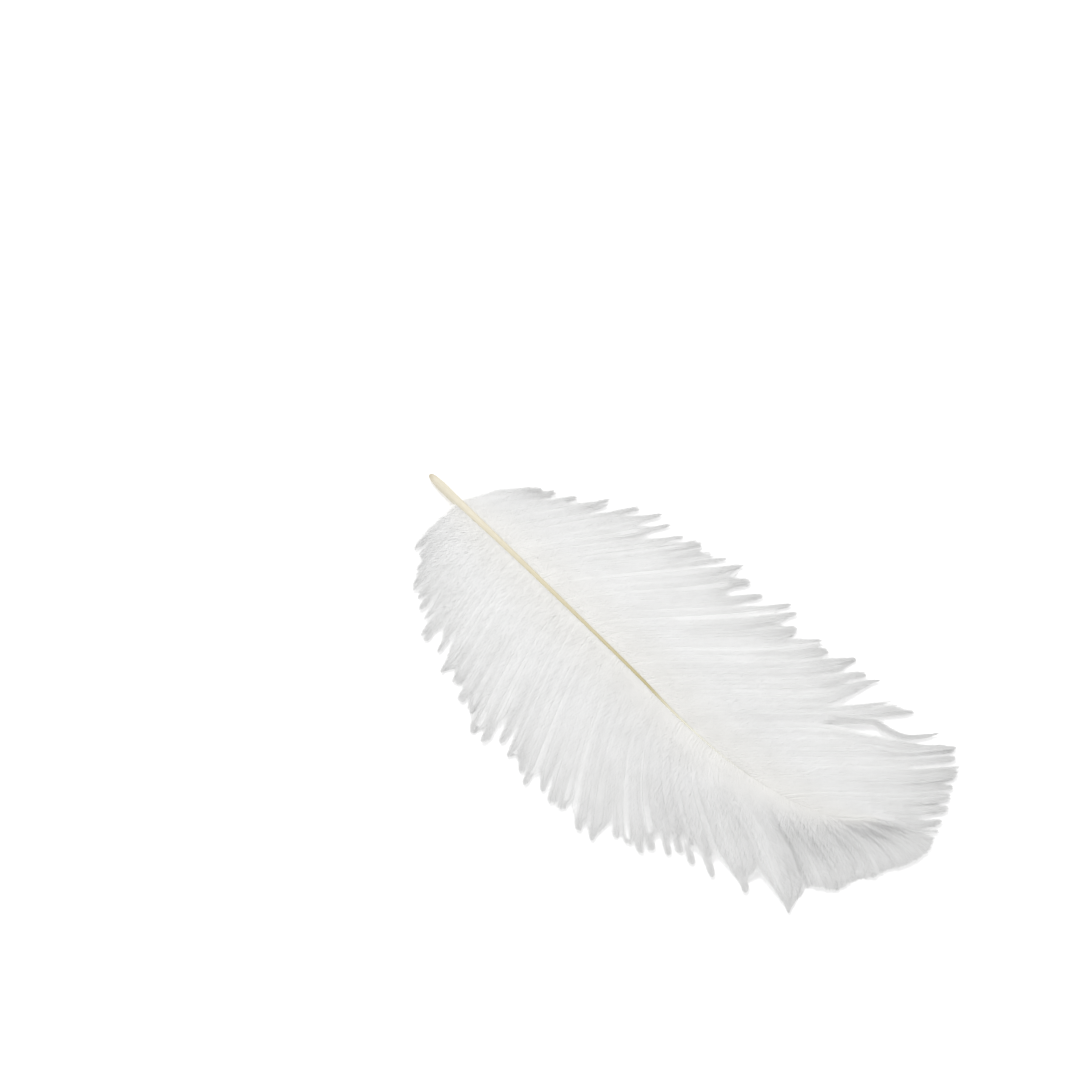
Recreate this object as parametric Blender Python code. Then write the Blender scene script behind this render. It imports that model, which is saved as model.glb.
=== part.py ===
"""White ostrich plume, lying with its arched shaft up and its two vanes drooping to the surface.

The plume is one closed body. A tapered shaft runs from the bare quill to the tip, and each vane is a
row of locks, which are bundles of barbs that overlap from the shaft outwards and part at their ends.
What reaches the surface is trimmed flat at Z = 0.

Metres, +Z up. +X runs along the plume from the quill to the tip. The origin is at the bottom centre of
the plume's box.
"""

import math
import random

import bmesh
import bpy
import numpy as np

MM = 0.001

# The plume's own frame is in millimetres: along it, across it and up. This point of it goes to the origin.
BOX_CENTRE = (-11.5, 8.1)

# Centre line of the shaft: a low arch that swings to +Y at its tip
SHAFT_LINE = (
    (-160.0, 9.0, 1.9),
    (-125.0, 7.0, 4.6),
    (-85.0, 4.5, 9.0),
    (-42.0, 1.6, 13.6),
    (0.0, -0.6, 16.2),
    (30.0, -2.1, 16.6),
    (55.0, -1.3, 16.0),
    (76.0, 2.0, 14.8),
    (94.0, 7.2, 13.2),
    (106.0, 14.5, 11.6),
    (114.0, 24.5, 9.8),
)
SHAFT_STEP = 10.0
# Radius of the shaft at places along it: a blunt end, a stout quill and a thin rachis
SHAFT_RADIUS = (
    (-160.0, 0.9),
    (-158.0, 1.6),
    (-152.0, 2.0),
    (-120.0, 1.8),
    (-60.0, 1.3),
    (0.0, 0.9),
    (114.0, 0.5),
)

# Each vane, at places along the shaft: the barbs' angle from +X at the shaft and at their ends in degrees,
# their length seen from above, and where along them their droop starts and ends, from 0 to 1
NEAR_VANE = (
    (-137.0, -80.0, -74.0, 26.0, 0.0, 0.9),
    (-124.0, -78.0, -68.0, 42.0, 0.0, 0.9),
    (-100.0, -74.0, -60.0, 60.0, 0.0, 0.9),
    (-60.0, -70.0, -54.0, 72.0, 0.0, 0.9),
    (-25.0, -66.0, -50.0, 73.0, 0.0, 0.9),
    (4.0, -61.0, -47.0, 70.0, 0.02, 0.92),
    (21.0, -58.0, -31.0, 61.0, 0.06, 0.92),
    (46.0, -53.0, -18.0, 54.5, 0.14, 0.93),
    (64.0, -50.0, -15.0, 52.5, 0.22, 0.93),
    (83.0, -45.0, -17.0, 53.0, 0.28, 0.9),
    (99.0, -35.0, -17.0, 36.0, 0.2, 0.88),
    (106.0, -16.0, -12.0, 28.0, 0.0, 0.82),
    (110.0, 6.0, 6.0, 26.5, -0.1, 0.8),
    (114.0, 44.0, 44.0, 26.0, -0.1, 0.85),
)
FAR_VANE = (
    (-137.0, 82.0, 76.0, 26.0, 0.0, 0.9),
    (-124.0, 80.0, 72.0, 44.0, -0.05, 0.9),
    (-100.0, 77.0, 66.0, 66.0, -0.1, 0.88),
    (-60.0, 74.0, 60.0, 80.0, -0.15, 0.85),
    (0.0, 71.0, 57.0, 84.0, -0.15, 0.85),
    (53.0, 70.0, 55.0, 86.0, -0.15, 0.85),
    (70.0, 69.0, 55.0, 82.0, -0.15, 0.85),
    (90.0, 69.0, 57.0, 66.0, -0.15, 0.88),
    (98.0, 68.0, 58.0, 57.0, -0.12, 0.9),
    (106.0, 65.0, 57.0, 45.0, -0.1, 0.92),
    (114.0, 52.0, 50.0, 27.0, -0.1, 0.95),
)
END_HEIGHT = 0.35

# Locks: the distance between their ends, how much wider they are than that, and how flat
LOCK_PITCH = 9.9
LOCK_OVERLAP = 1.22
LOCK_FLATNESS = 0.17
LEAST_HALF_WIDTH = 2.4
# A lock starts this far under the shaft's centre line, and this far past it on the other side
ROOT_DROP = 0.6
ROOT_OVERRUN = 2.5
# Width of a lock along its length, as a share of its full width
LOCK_TAPER = ((0.0, 1.0), (0.24, 1.0), (0.48, 1.02), (0.7, 0.98), (0.86, 0.8), (0.96, 0.54), (1.0, 0.26))
# How much the locks differ from each other in length, in direction and in height at their ends
LENGTH_SPREAD = 0.045
ANGLE_SPREAD = 1.6
LIFT_SPREAD = 0.35
SEED = 11

SPLINE_STEPS = 24
BARB_STEPS = 40
ROOT_SAMPLES = 400
SEAM = 0.01
SHARP_ANGLE = 40

FEATHER_WHITE = (0.92, 0.91, 0.88, 1.0)
FEATHER_ROUGHNESS = 0.8


def clear_scene():
    for item in list(bpy.data.objects):
        bpy.data.objects.remove(item, do_unlink=True)


def make_collection(name):
    collection = bpy.data.collections.new(name)
    bpy.context.scene.collection.children.link(collection)
    return collection


def as_guide(item):
    item.hide_render = True
    item.display_type = "WIRE"


def smooth_line(points):
    """Catmull-Rom spline through the points."""
    knots = np.array(points)
    knots = np.vstack((2 * knots[0] - knots[1], knots, 2 * knots[-1] - knots[-2]))
    line = []
    for before, start, end, after in zip(knots, knots[1:], knots[2:], knots[3:]):
        for t in np.arange(SPLINE_STEPS) / SPLINE_STEPS:
            line.append(
                start
                + 0.5 * t * (end - before)
                + t**2 * (before - 2.5 * start + 2 * end - 0.5 * after)
                + 0.5 * t**3 * (3 * start - before - 3 * end + after)
            )
    line.append(knots[-2])
    return np.array(line)


SHAFT = smooth_line(SHAFT_LINE)


def on_shaft(x):
    """Centre of the shaft at x along it."""
    return np.array((x, np.interp(x, SHAFT[:, 0], SHAFT[:, 1]), np.interp(x, SHAFT[:, 0], SHAFT[:, 2])))


def ease(t):
    """Smooth step from 0 to 1."""
    t = np.clip(t, 0.0, 1.0)
    return t * t * (3 - 2 * t)


def barb_line(vane, x, places, longer=1.0, turned=0.0):
    """A barb's centre line from the shaft at x, at each of the places from 0 to 1 along it."""
    table = np.array(vane)
    start, end, length, high, low = (np.interp(x, table[:, 0], column) for column in table.T[1:])
    middles = (np.arange(BARB_STEPS) + 0.5) / BARB_STEPS
    angles = np.radians(start + (end - start) * middles + turned)
    run = length * longer / BARB_STEPS
    shares = np.linspace(0.0, 1.0, BARB_STEPS + 1)
    along = np.concatenate(((0.0,), np.cumsum(np.cos(angles) * run)))
    across = np.concatenate(((0.0,), np.cumsum(np.sin(angles) * run)))
    root = on_shaft(x)
    fallen = ease(-high / (low - high))
    fall = (ease((np.asarray(places) - high) / (low - high)) - fallen) / (1 - fallen)
    return np.column_stack(
        (
            root[0] + np.interp(places, shares, along),
            root[1] + np.interp(places, shares, across),
            root[2] + (END_HEIGHT - root[2]) * fall,
        )
    )


def lock_edges(vane):
    """Places along the shaft where locks part, chosen so that the locks' ends are evenly spaced."""
    xs = np.linspace(vane[0][0], vane[-1][0], ROOT_SAMPLES)
    ends = np.array([barb_line(vane, x, (1.0,))[0] for x in xs])
    walked = np.concatenate(((0.0,), np.cumsum(np.linalg.norm(np.diff(ends, axis=0), axis=1))))
    count = round(walked[-1] / LOCK_PITCH)
    return np.interp(np.linspace(0.0, walked[-1], count + 1), walked, xs)


def add_curve(name, collection, line, radii, profile=None):
    """A tube along the line, round with radii in millimetres, or with the profile scaled by them."""
    data = bpy.data.curves.new(name, "CURVE")
    data.dimensions = "3D"
    data.twist_mode = "Z_UP"
    data.use_fill_caps = True
    if profile:
        data.bevel_mode = "OBJECT"
        data.bevel_object = profile
    else:
        data.bevel_depth = MM
        data.bevel_resolution = 2
    spline = data.splines.new("POLY")
    spline.points.add(len(line) - 1)
    for point, place, radius in zip(spline.points, line, radii):
        x, y, z = (float(v) for v in place)
        point.co = ((x - BOX_CENTRE[0]) * MM, (y - BOX_CENTRE[1]) * MM, z * MM, 1.0)
        point.radius = float(radius)
    curve = bpy.data.objects.new(name, data)
    collection.objects.link(curve)
    return curve


def to_mesh(curve, collection):
    """Replaces a curve object by a closed mesh object."""
    bpy.context.view_layer.update()
    seen = curve.evaluated_get(bpy.context.evaluated_depsgraph_get())
    mesh = bpy.data.meshes.new_from_object(seen)
    shape = bmesh.new()
    shape.from_mesh(mesh)
    bmesh.ops.remove_doubles(shape, verts=shape.verts, dist=SEAM * MM)
    bmesh.ops.recalc_face_normals(shape, faces=shape.faces)
    shape.to_mesh(mesh)
    shape.free()
    solid = bpy.data.objects.new(curve.name + "_solid", mesh)
    solid.matrix_world = curve.matrix_world.copy()
    collection.objects.link(solid)
    bpy.data.objects.remove(curve, do_unlink=True)
    return solid


def lock_profile(collection):
    """Flat six-sided outline of a lock's section, one unit of radius from its middle to its edge."""
    data = bpy.data.curves.new("lock_profile", "CURVE")
    data.dimensions = "2D"
    spline = data.splines.new("POLY")
    spline.use_cyclic_u = True
    spline.points.add(5)
    for i, point in enumerate(spline.points):
        turn = math.tau * i / len(spline.points)
        point.co = (math.cos(turn) * MM, math.sin(turn) * LOCK_FLATNESS * MM, 0.0, 1.0)
    profile = bpy.data.objects.new("lock_profile", data)
    collection.objects.link(profile)
    as_guide(profile)
    return profile


def make_shaft(collection):
    places, radii = zip(*SHAFT_RADIUS)
    xs = np.arange(places[-1], places[2], -SHAFT_STEP)[::-1]
    xs = np.concatenate((places[:3], xs))
    curve = add_curve("shaft", collection, [on_shaft(x) for x in xs], np.interp(xs, places, radii))
    return to_mesh(curve, collection)


def make_locks(name, vane, profile, collection, draw):
    """One closed body for each lock of a vane."""
    shares, widths = (np.array(column) for column in zip(*LOCK_TAPER))
    edges = lock_edges(vane)
    for number, (low, high) in enumerate(zip(edges, edges[1:])):
        longer = 1 + draw.uniform(-LENGTH_SPREAD, LENGTH_SPREAD)
        turned = draw.uniform(-ANGLE_SPREAD, ANGLE_SPREAD)
        lift = draw.uniform(0.0, LIFT_SPREAD)
        line = barb_line(vane, (low + high) / 2, shares, longer, turned)
        line[:, 2] += lift * shares - ROOT_DROP * (1 - shares)
        line[0] += (line[0] - line[1]) * ROOT_OVERRUN / math.dist(line[0], line[1])
        gap = barb_line(vane, high, shares) - barb_line(vane, low, shares)
        ahead = np.gradient(line, axis=0)[:, :2]
        ahead /= np.linalg.norm(ahead, axis=1)[:, None]
        across = np.abs(gap[:, 0] * ahead[:, 1] - gap[:, 1] * ahead[:, 0])
        half_widths = np.maximum(LOCK_OVERLAP * across / 2, LEAST_HALF_WIDTH) * widths
        curve = add_curve(f"{name}_lock_{number:02d}", collection, line, half_widths, profile)
        as_guide(to_mesh(curve, collection))


def join(body, collection):
    """Adds every solid of the collection to the body."""
    union = body.modifiers.new("locks", "BOOLEAN")
    union.operation = "UNION"
    union.operand_type = "COLLECTION"
    union.collection = collection
    union.solver = "EXACT"


def trim_below(body, collection):
    """Cuts the body flat where it would reach under the surface."""
    length, width, depth = 0.5, 0.3, 0.1
    bpy.ops.mesh.primitive_cube_add(size=1.0, location=(0.0, 0.0, -depth / 2))
    block = bpy.context.active_object
    block.name = "surface_cutter"
    block.scale = (length, width, depth)
    for holder in list(block.users_collection):
        holder.objects.unlink(block)
    collection.objects.link(block)
    as_guide(block)
    cut = body.modifiers.new("surface", "BOOLEAN")
    cut.operation = "DIFFERENCE"
    cut.object = block
    cut.solver = "EXACT"


def feather_material():
    material = bpy.data.materials.new("feather")
    material.use_nodes = True
    shader = material.node_tree.nodes["Principled BSDF"]
    shader.inputs["Base Color"].default_value = FEATHER_WHITE
    shader.inputs["Roughness"].default_value = FEATHER_ROUGHNESS
    return material


def build():
    clear_scene()
    plume = make_collection("ostrich_feather")
    guides = make_collection("guides")
    locks = make_collection("locks")
    draw = random.Random(SEED)
    profile = lock_profile(guides)
    body = make_shaft(plume)
    body.name = "feather"
    body.data.name = "feather"
    make_locks("near", NEAR_VANE, profile, locks, draw)
    make_locks("far", FAR_VANE, profile, locks, draw)
    join(body, locks)
    trim_below(body, guides)
    body.data.materials.append(feather_material())
    body.data.shade_smooth()
    body.data.set_sharp_from_angle(angle=math.radians(SHARP_ANGLE))


build()
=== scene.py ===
"""White ostrich plume: its shaft, and two vanes of barbs that each carry two rows of barbules.

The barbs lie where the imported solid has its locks. Lengths are in millimetres in the plume's own frame,
as in the solid's tables, and become metres around its origin when a mesh is made. The camera, the light
and the floor are in metres.
"""

import math

import bpy
import numpy as np
from mathutils import Matrix, Vector


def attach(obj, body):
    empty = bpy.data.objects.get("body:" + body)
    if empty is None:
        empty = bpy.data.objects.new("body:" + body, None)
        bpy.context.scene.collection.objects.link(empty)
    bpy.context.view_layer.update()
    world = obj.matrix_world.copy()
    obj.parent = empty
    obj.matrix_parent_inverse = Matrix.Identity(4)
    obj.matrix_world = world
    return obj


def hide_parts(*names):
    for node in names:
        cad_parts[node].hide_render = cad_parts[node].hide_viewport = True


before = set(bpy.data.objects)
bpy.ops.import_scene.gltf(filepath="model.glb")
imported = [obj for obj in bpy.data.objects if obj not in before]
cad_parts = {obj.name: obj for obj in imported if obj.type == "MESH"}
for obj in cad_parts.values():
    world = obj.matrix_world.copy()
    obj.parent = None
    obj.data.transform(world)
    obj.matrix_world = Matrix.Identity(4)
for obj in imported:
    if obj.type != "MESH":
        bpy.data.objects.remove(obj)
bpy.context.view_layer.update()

MM = 0.001
BOX_CENTRE = (-11.5, 8.1)
SEED = 7

# Centre line of the shaft, and its radius at places along it
SHAFT_LINE = (
    (-160.0, 9.0, 1.9),
    (-125.0, 7.0, 4.6),
    (-85.0, 4.5, 9.0),
    (-42.0, 1.6, 13.6),
    (0.0, -0.6, 16.2),
    (30.0, -2.1, 16.6),
    (55.0, -1.3, 16.0),
    (76.0, 2.0, 14.8),
    (94.0, 7.2, 13.2),
    (106.0, 14.5, 11.6),
    (114.0, 24.5, 9.8),
)
SHAFT_RADIUS = (
    (-160.0, 0.45),
    (-159.7, 0.8),
    (-159.0, 1.15),
    (-157.0, 1.55),
    (-152.0, 1.95),
    (-120.0, 1.8),
    (-80.0, 1.3),
    (-40.0, 1.0),
    (0.0, 0.9),
    (25.0, 0.8),
    (50.0, 0.65),
    (80.0, 0.4),
    (114.0, 0.14),
)
# The shaft's tube: its sides and rings, how much closer the rings are at the quill, and its pointed ends
SHAFT_SIDES = 16
SHAFT_RINGS = 220
RING_CROWDING = 1.4
SHAFT_POINT = 0.3

# Each vane, at places along the shaft: the barbs' angles from +X in degrees at these shares of their
# length, their length seen from above, and the shares of it where their droop starts and ends. A start
# under 0 means that they already slope down at the shaft.
ANGLE_SHARES = (0.0, 0.4, 0.75, 1.0)
NEAR_VANE = (
    (-137.0, -80.0, -77.6, -75.5, -74.0, 26.0, 0.0, 0.9),
    (-124.0, -78.0, -74.0, -70.5, -68.0, 42.0, 0.0, 0.9),
    (-100.0, -74.0, -68.4, -63.5, -60.0, 60.0, 0.0, 0.9),
    (-60.0, -70.0, -63.6, -58.0, -54.0, 72.0, 0.0, 0.9),
    (-25.0, -66.0, -59.6, -54.0, -48.0, 73.0, 0.0, 0.9),
    (4.0, -64.0, -54.0, -42.0, -34.0, 69.0, 0.02, 0.92),
    (21.0, -65.0, -45.0, -28.0, -28.0, 62.5, 0.06, 0.92),
    (40.0, -69.0, -29.0, -12.0, -30.0, 61.5, 0.12, 0.93),
    (54.0, -63.0, -13.0, -19.0, -28.0, 60.5, 0.18, 0.93),
    (69.0, -49.0, -1.0, -21.0, -35.0, 60.3, 0.22, 0.9),
    (83.0, -44.0, -1.0, -16.0, -31.0, 42.5, 0.16, 0.78),
    (92.0, -32.0, 8.0, -13.0, -35.0, 38.0, 0.12, 0.75),
    (99.0, -16.0, 15.0, -14.0, -40.0, 31.5, 0.05, 0.9),
    (106.0, 30.0, 30.0, -8.0, -28.0, 30.0, 0.0, 0.95),
    (110.0, 39.0, 43.0, 16.0, -18.0, 29.5, 0.0, 0.95),
    (114.0, 52.0, 55.0, 42.0, 18.0, 26.0, 0.0, 0.95),
)
FAR_VANE = (
    (-137.0, 82.0, 79.6, 77.5, 76.0, 26.0, 0.0, 0.9),
    (-124.0, 80.0, 76.8, 74.0, 72.0, 44.0, -0.05, 0.9),
    (-100.0, 77.0, 72.6, 68.8, 66.0, 66.0, -0.1, 0.88),
    (-60.0, 74.0, 68.4, 63.5, 60.0, 80.0, -0.15, 0.85),
    (0.0, 71.0, 65.4, 60.5, 57.0, 84.0, -0.15, 0.85),
    (53.0, 70.0, 64.0, 58.8, 55.0, 86.0, -0.15, 0.85),
    (70.0, 69.0, 63.4, 58.5, 55.0, 82.0, -0.15, 0.85),
    (90.0, 69.0, 64.2, 60.0, 57.0, 66.0, -0.15, 0.88),
    (98.0, 68.0, 64.0, 60.5, 58.0, 57.0, -0.12, 0.9),
    (106.0, 65.0, 61.8, 59.0, 57.0, 45.0, -0.1, 0.92),
    (114.0, 52.0, 51.2, 50.5, 50.0, 27.0, -0.1, 0.95),
)
# Where the length is in these rows, and the height of the barbs' ends
LENGTH_COLUMN = 5
END_HEIGHT = 1.1

# Tufts in which the barbs finish along the open half of each vane, from the quill's side to the tip's: the
# place of the end, half the distance between the outer barbs there, how much further the tip's side
# reaches than the quill's side, and how each of the two sides runs in from its notch, from parallel (0) to
# straight to the end (1)
NEAR_TUFTS = (
    (41.0, -58.9, 1.3, 0.0, 0.1, 0.1),
    (49.3, -57.8, 1.2, 0.0, 0.2, 0.7),
    (53.3, -49.7, 1.2, 0.0, 0.2, 0.2),
    (59.3, -48.2, 1.1, 0.0, 0.2, 0.3),
    (66.7, -47.5, 0.9, 0.0, 0.3, 0.0),
    (68.1, -43.4, 0.9, 0.0, 0.0, 0.1),
    (74.2, -39.8, 0.9, 0.0, 0.1, 0.0),
    (75.6, -36.1, 0.8, 0.0, 0.0, 0.0),
    (83.2, -37.0, 1.0, 0.0, 0.1, 0.2),
    (94.1, -33.8, 1.2, 0.0, 0.4, 0.2),
    (109.0, -28.8, 1.0, 0.0, 0.7, 0.4),
    (127.7, -22.4, 0.4, 0.0, 0.9, 0.9),
    (129.0, -4.6, 12.4, 1.5, 0.5, 0.0),
    (132.9, 11.5, 5.8, 0.0, 0.0, 0.0),
    (136.9, 30.2, 15.5, 0.0, 0.0, 0.0),
)
FAR_TUFTS = (
    (36.0, 77.5, 1.4, 0.0, 0.3, 0.3),
    (44.6, 75.8, 2.0, 0.0, 0.3, 0.1),
    (51.0, 78.4, 0.5, 0.0, 1.0, 1.0),
    (68.2, 80.9, 5.0, 9.0, 0.0, 0.0),
    (102.2, 77.9, 3.4, 3.0, 0.8, 0.0),
    (103.6, 74.4, 1.0, 0.0, 0.0, 0.0),
    (106.4, 73.9, 1.1, 0.0, 0.0, 0.2),
    (110.9, 69.6, 2.3, 0.0, 0.1, 0.1),
    (115.4, 63.9, 1.5, 0.0, 0.1, 0.1),
    (118.9, 59.9, 1.5, 0.0, 0.1, 0.1),
    (123.2, 56.1, 1.8, 0.0, 0.1, 0.1),
    (127.0, 49.7, 1.7, 0.0, 0.0, 0.1),
    (131.0, 45.8, 1.5, 0.0, 0.0, 0.0),
)
# Notches between these tufts, in the same order
NEAR_NOTCHES = (
    (40.0, -54.1),
    (45.3, -46.0),
    (54.0, -47.4),
    (60.0, -45.8),
    (61.7, -41.4),
    (62.3, -35.7),
    (66.5, -31.7),
    (71.7, -30.3),
    (77.9, -28.6),
    (87.5, -25.6),
    (104.2, -18.7),
    (118.8, -8.4),
    (129.4, 8.8),
    (132.1, 17.2),
)
FAR_NOTCHES = (
    (38.4, 69.3),
    (45.1, 65.5),
    (51.1, 52.4),
    (59.9, 45.2),
    (89.0, 57.6),
    (96.4, 56.7),
    (106.5, 69.6),
    (111.4, 63.2),
    (115.8, 60.6),
    (118.4, 54.6),
    (119.7, 44.3),
    (125.8, 41.0),
)
# More places that the near vane's edge reaches, along the wide tufts round the tip
NEAR_CORNERS = (
    (125.1, -8.3),
    (130.4, -0.1),
    (130.5, 4.1),
    (131.1, 9.5),
    (133.8, 13.5),
    (134.4, 19.0),
    (135.8, 23.1),
    (136.9, 31.6),
    (136.2, 36.9),
    (134.2, 40.7),
    (132.2, 44.2),
)
# The least share of its width that a tuft's end keeps from either side
NEAR_MARGIN = 0.3
FAR_MARGIN = 0.4
# Unevenness of the heights, at places along the shaft
NEAR_ROUGHNESS = ((-137.0, 0.4), (94.0, 0.4), (106.0, 0.12))
FAR_ROUGHNESS = ((-137.0, 0.2), (114.0, 0.2))
# Stray strands, which leave the others on their way and cross a gap: their root along the shaft, the share
# of their length where they leave, their course from there with heights, their barbules' reach as a part
# of the others', and their number of barbs
FAR_STRAYS = (
    (
        34.4,
        0.66,
        (
            (68.0, 60.9, 2.2),
            (71.8, 61.8, 2.0),
            (75.3, 63.1, 1.8),
            (79.3, 64.3, 1.6),
            (82.7, 66.6, 1.4),
            (85.7, 70.6, 1.3),
            (87.6, 74.4, 1.2),
            (89.8, 79.2, 1.2),
        ),
        0.7,
        7,
    ),
)
# The distance between a strand's barbs, how far under the others they are where they leave and after
# which part of their way there they sink, every how many of their points is kept on that way and the
# steps in which the whole is smoothed, the share of them that is kept, how much less of the outer ones
# and its jitter, and how much of what is left from each place to the end counts for the painted shade at
# the barbs' ends, which makes the strand darker
STRAND_PITCH = 0.26
STRAY_DROP = 0.3
STRAY_SINKING = 0.4
STRAY_POINTS = 4
STRAY_STEPS = 12
STRAY_KEEP = 0.99
STRAY_STAGGER = 0.012
STRAY_JITTER = (0.0, 0.01)
STRAY_END_SHADE_SCALE = 0.2
# Pleats in the fall of the near vane round the tip: the place of their end, half width and depth
NEAR_PLEATS = (
    (122.0, -10.0, 1.8, 1.2),
    (130.4, -1.4, 1.6, 0.6),
    (131.5, 7.4, 2.4, 1.1),
)

# Tufts along the hidden half, drawn between these limits: width along the edge, how far the end reaches
# past the even edge, half width at the end, how much further the tip's side reaches, how the sides run in,
# and the depth of the notches
HIDDEN_WIDTH = (4.5, 12.0)
HIDDEN_REACH = (-6.0, 1.5)
HIDDEN_SPREAD = (0.2, 2.4)
HIDDEN_LEAN = (-3.0, 3.0)
HIDDEN_SIDES = (0.0, 0.7)
HIDDEN_DEPTH = (3.0, 17.0)

# How high the barbs leave the shaft, in parts of its radius there and in millimetres more
ROOT_RISE = ((-60.0, 0.45), (16.0, 0.6), (40.0, 0.8), (68.0, 0.97), (90.0, 1.0))
ROOT_COVER = ((60.0, 0.0), (90.0, 0.25))
# Height of the soft swell beside the shaft, and its distance from it
SWELL = ((-137.0, 0.0), (-100.0, 0.8), (-30.0, 0.7), (10.0, 0.35), (60.0, 0.3), (95.0, 0.1))
SWELL_DISTANCE = 6.0
# The downy part next to the quill: its two ends, how far its barbs wave to the side and the turn of that
# wave along a barb, and how much longer its barbules are
DOWN_START = -137.0
DOWN_END = -96.0
DOWN_SWAY = 1.0
DOWN_WAVES = 9.0
DOWN_REACH = 0.35

# The vane's edge: how many places are worked out along it, the shares of the barbs that give its heading,
# and how much a barb's distance counts beside its aim where the barb that points at a spot is found
EDGE_SAMPLES = 1200
HEADING_SHARES = (0.95, 1.0)
HIDDEN_HEADING_SHARES = (0.9, 1.0)
DISTANCE_WEIGHT = 0.15
# How finely the barb through a notch is found, along the edge and along the barbs
NOTCH_PLACES = 900
NOTCH_SHARES = np.linspace(0.3, 1.0, 141)
# Rounds in which the clefts and the pull on the barbs are found, and the depth beyond the outermost tufts
FITTING_ROUNDS = 3
OUTER_DEPTH = 3.0

# Barbs: the distance between their roots along the shaft and the most between their ends along the edge,
# the jitter of the roots in parts of their distance and of the angles in degrees, the points of each
# barb, which are closer towards its end, and the steps in which its angles add up
BARB_PITCH = 0.95
EDGE_PITCH = 1.2
ROOT_JITTER = 0.3
ANGLE_JITTER = 0.8
LINE_POINTS = 34
END_CROWDING = 0.45
BARB_STEPS = 64
# Gathering into tufts: the least half width of a tuft, the least way that its outer barbs move, the run
# along the barbs that this takes and its growth with the way, and how far they have moved at the place
# given for the notch
LEAST_HALF = 0.5
LEAST_MOVED = 0.1
LEAST_RUN = 2.0
RUN_GROWTH = 0.7
NOTCH_OPENING = 1.0
# The shares of the barbs' length along which the pull on the vane's edge sets in
PULL_SHARES = (0.35, 1.0)
# Sideways unevenness: its size, and the shares of the barbs' length along which it sets in
SWAY = 0.4
SWAY_SHARES = (0.1, 0.5)
# Waves that run along the barbs' ends, with their length and size, and how much they turn along the barbs
RIPPLES = ((27.0, 0.5), (15.0, 0.4), (8.3, 0.25))
RIPPLE_DRIFT = (-1.6, 1.6)
# Uneven heights: the shares of the barbs' length along which the waves, and the twists and crowns of the
# tufts, set in, the limits of the twist, the crown's height for a tuft's half width, how far in from the
# notch both reach, each barb's own height, and how much of all this the gathering takes away
LIFT_SHARES = (0.05, 0.4)
OUTER_SHARES = (0.4, 0.95)
TWIST = (0.3, 1.0)
CROWN_RISE = 0.24
CROWN_LIMITS = (0.3, 0.8)
APART_RUN = 22.0
HEIGHT_JITTER = 0.05
JITTER_SHARES = (0.0, 0.5)
FLATTENING = 0.7
# The shares along which the pleats set in, and the least height of a barb's centre line
PLEAT_SHARES = (0.1, 0.55)
LEAST_HEIGHT = 0.4
# Ends of a tuft's barbs: the share of the notch's depth that the outer ones stay short, how much more of
# it with straight sides, the power with which this grows from the tuft's middle, the most that it may
# be, the rounding of a wide end, and every barb's own part
TAPER = 0.08
STRAIGHT_TAPER = 0.4
TAPER_POWER = 1.7
MOST_TAPER = 8.0
ROUNDING = 0.3
MOST_ROUNDED = 2.5
END_SHORT = 0.2
END_JITTER = 0.6

# Stems: the radius at the shaft, and the part of it that is gone at the end
STEM_RADIUS = 0.12
STEM_TAPER = 0.6
# The layer of finest down: the most that it spans in a tuft and across a cleft, how far it lies under the
# barbs and ends before them, and its least height
WEB_WIDTH = 2.6
CLEFT_WIDTH = 1.5
WEB_DROP = 0.14
WEB_SHORT = 1.0
WEB_HEIGHT = 0.1
# Barbules: the distance between them along a barb, their jitter in parts of it, and the least on a barb
BARBULE_PITCH = 0.3
BARBULE_JITTER = 0.45
LEAST_BARBULES = 4
# Their reach to the side close to the barb's end and further in, at these distances from the end, and how
# much a pointed tuft narrows it
BARBULE_REACH = (1.3, 1.7)
REACH_RUN = (3.0, 14.0)
POINT_NARROWING = 0.55
POINT_RUN = (1.0, 12.0)
# Their size: its jitter, its share at the barb's root and the way to where it is full, and how much it
# grows away from the barb's end and along which way
SIZE_JITTER = (0.8, 1.1)
ROOT_SIZE = 0.55
ROOT_SIZE_RUN = (0.0, 7.0)
INNER_GROWTH = 0.3
INNER_GROWTH_RUN = (8.0, 26.0)
# Their angles in degrees: jitter on firm barbs and more in the down, tilt with its spread, and how they
# bend halfway, ahead and down
BARBULE_TURN = 5.0
DOWN_TURN = 12.0
BARBULE_TILT = (2.0, 5.0)
FIRST_TURN = 1.2
SECOND_TURN = 0.8
SECOND_DIP = 6.0
# Their width at the barb, its jitter, its share halfway, and their least height
BARBULE_WIDTH = 0.18
WIDTH_JITTER = (0.75, 1.2)
MIDDLE_WIDTH = 0.8
BARBULE_HEIGHT = 0.06
# The half circle that their tips make round a barb's end: its length, and its centre from the end
CAP_LENGTH = 3.0
CAP_CENTRE = 0.6

# Surface coordinates: the most that the second one along a barb counts, the slant, start and size of
# those seen from above, and the margin of the shaft's
UV_REACH = 40.0
UV_SLANT = (0.35, 0.22)
UV_START = (170, 90)
UV_SIZE = 340
UV_MARGIN = 0.002

# Colours at places from 0 to 1: along a barb, towards its end, where painted shade greys the thin ends,
# and over its mottling
BARB_WHITES = ((0.0, (0.955, 0.950, 0.936)), (0.3, (0.957, 0.958, 0.957)))
BARB_PAINTED_END_SHADE = (
    (0.0, (0.80, 0.80, 0.80)),
    (0.25, (0.89, 0.89, 0.89)),
    (0.55, (0.948, 0.948, 0.948)),
    (1.0, (0.972, 0.972, 0.972)),
)
BARB_MOTTLE = ((0.3, (0.965, 0.965, 0.962)), (0.7, (1.0, 1.0, 1.0)))
BARB_ROUGHNESS = (0.55, 0.8)
BARB_BUMP = 0.2
BARB_THROUGH = 0.35
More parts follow.
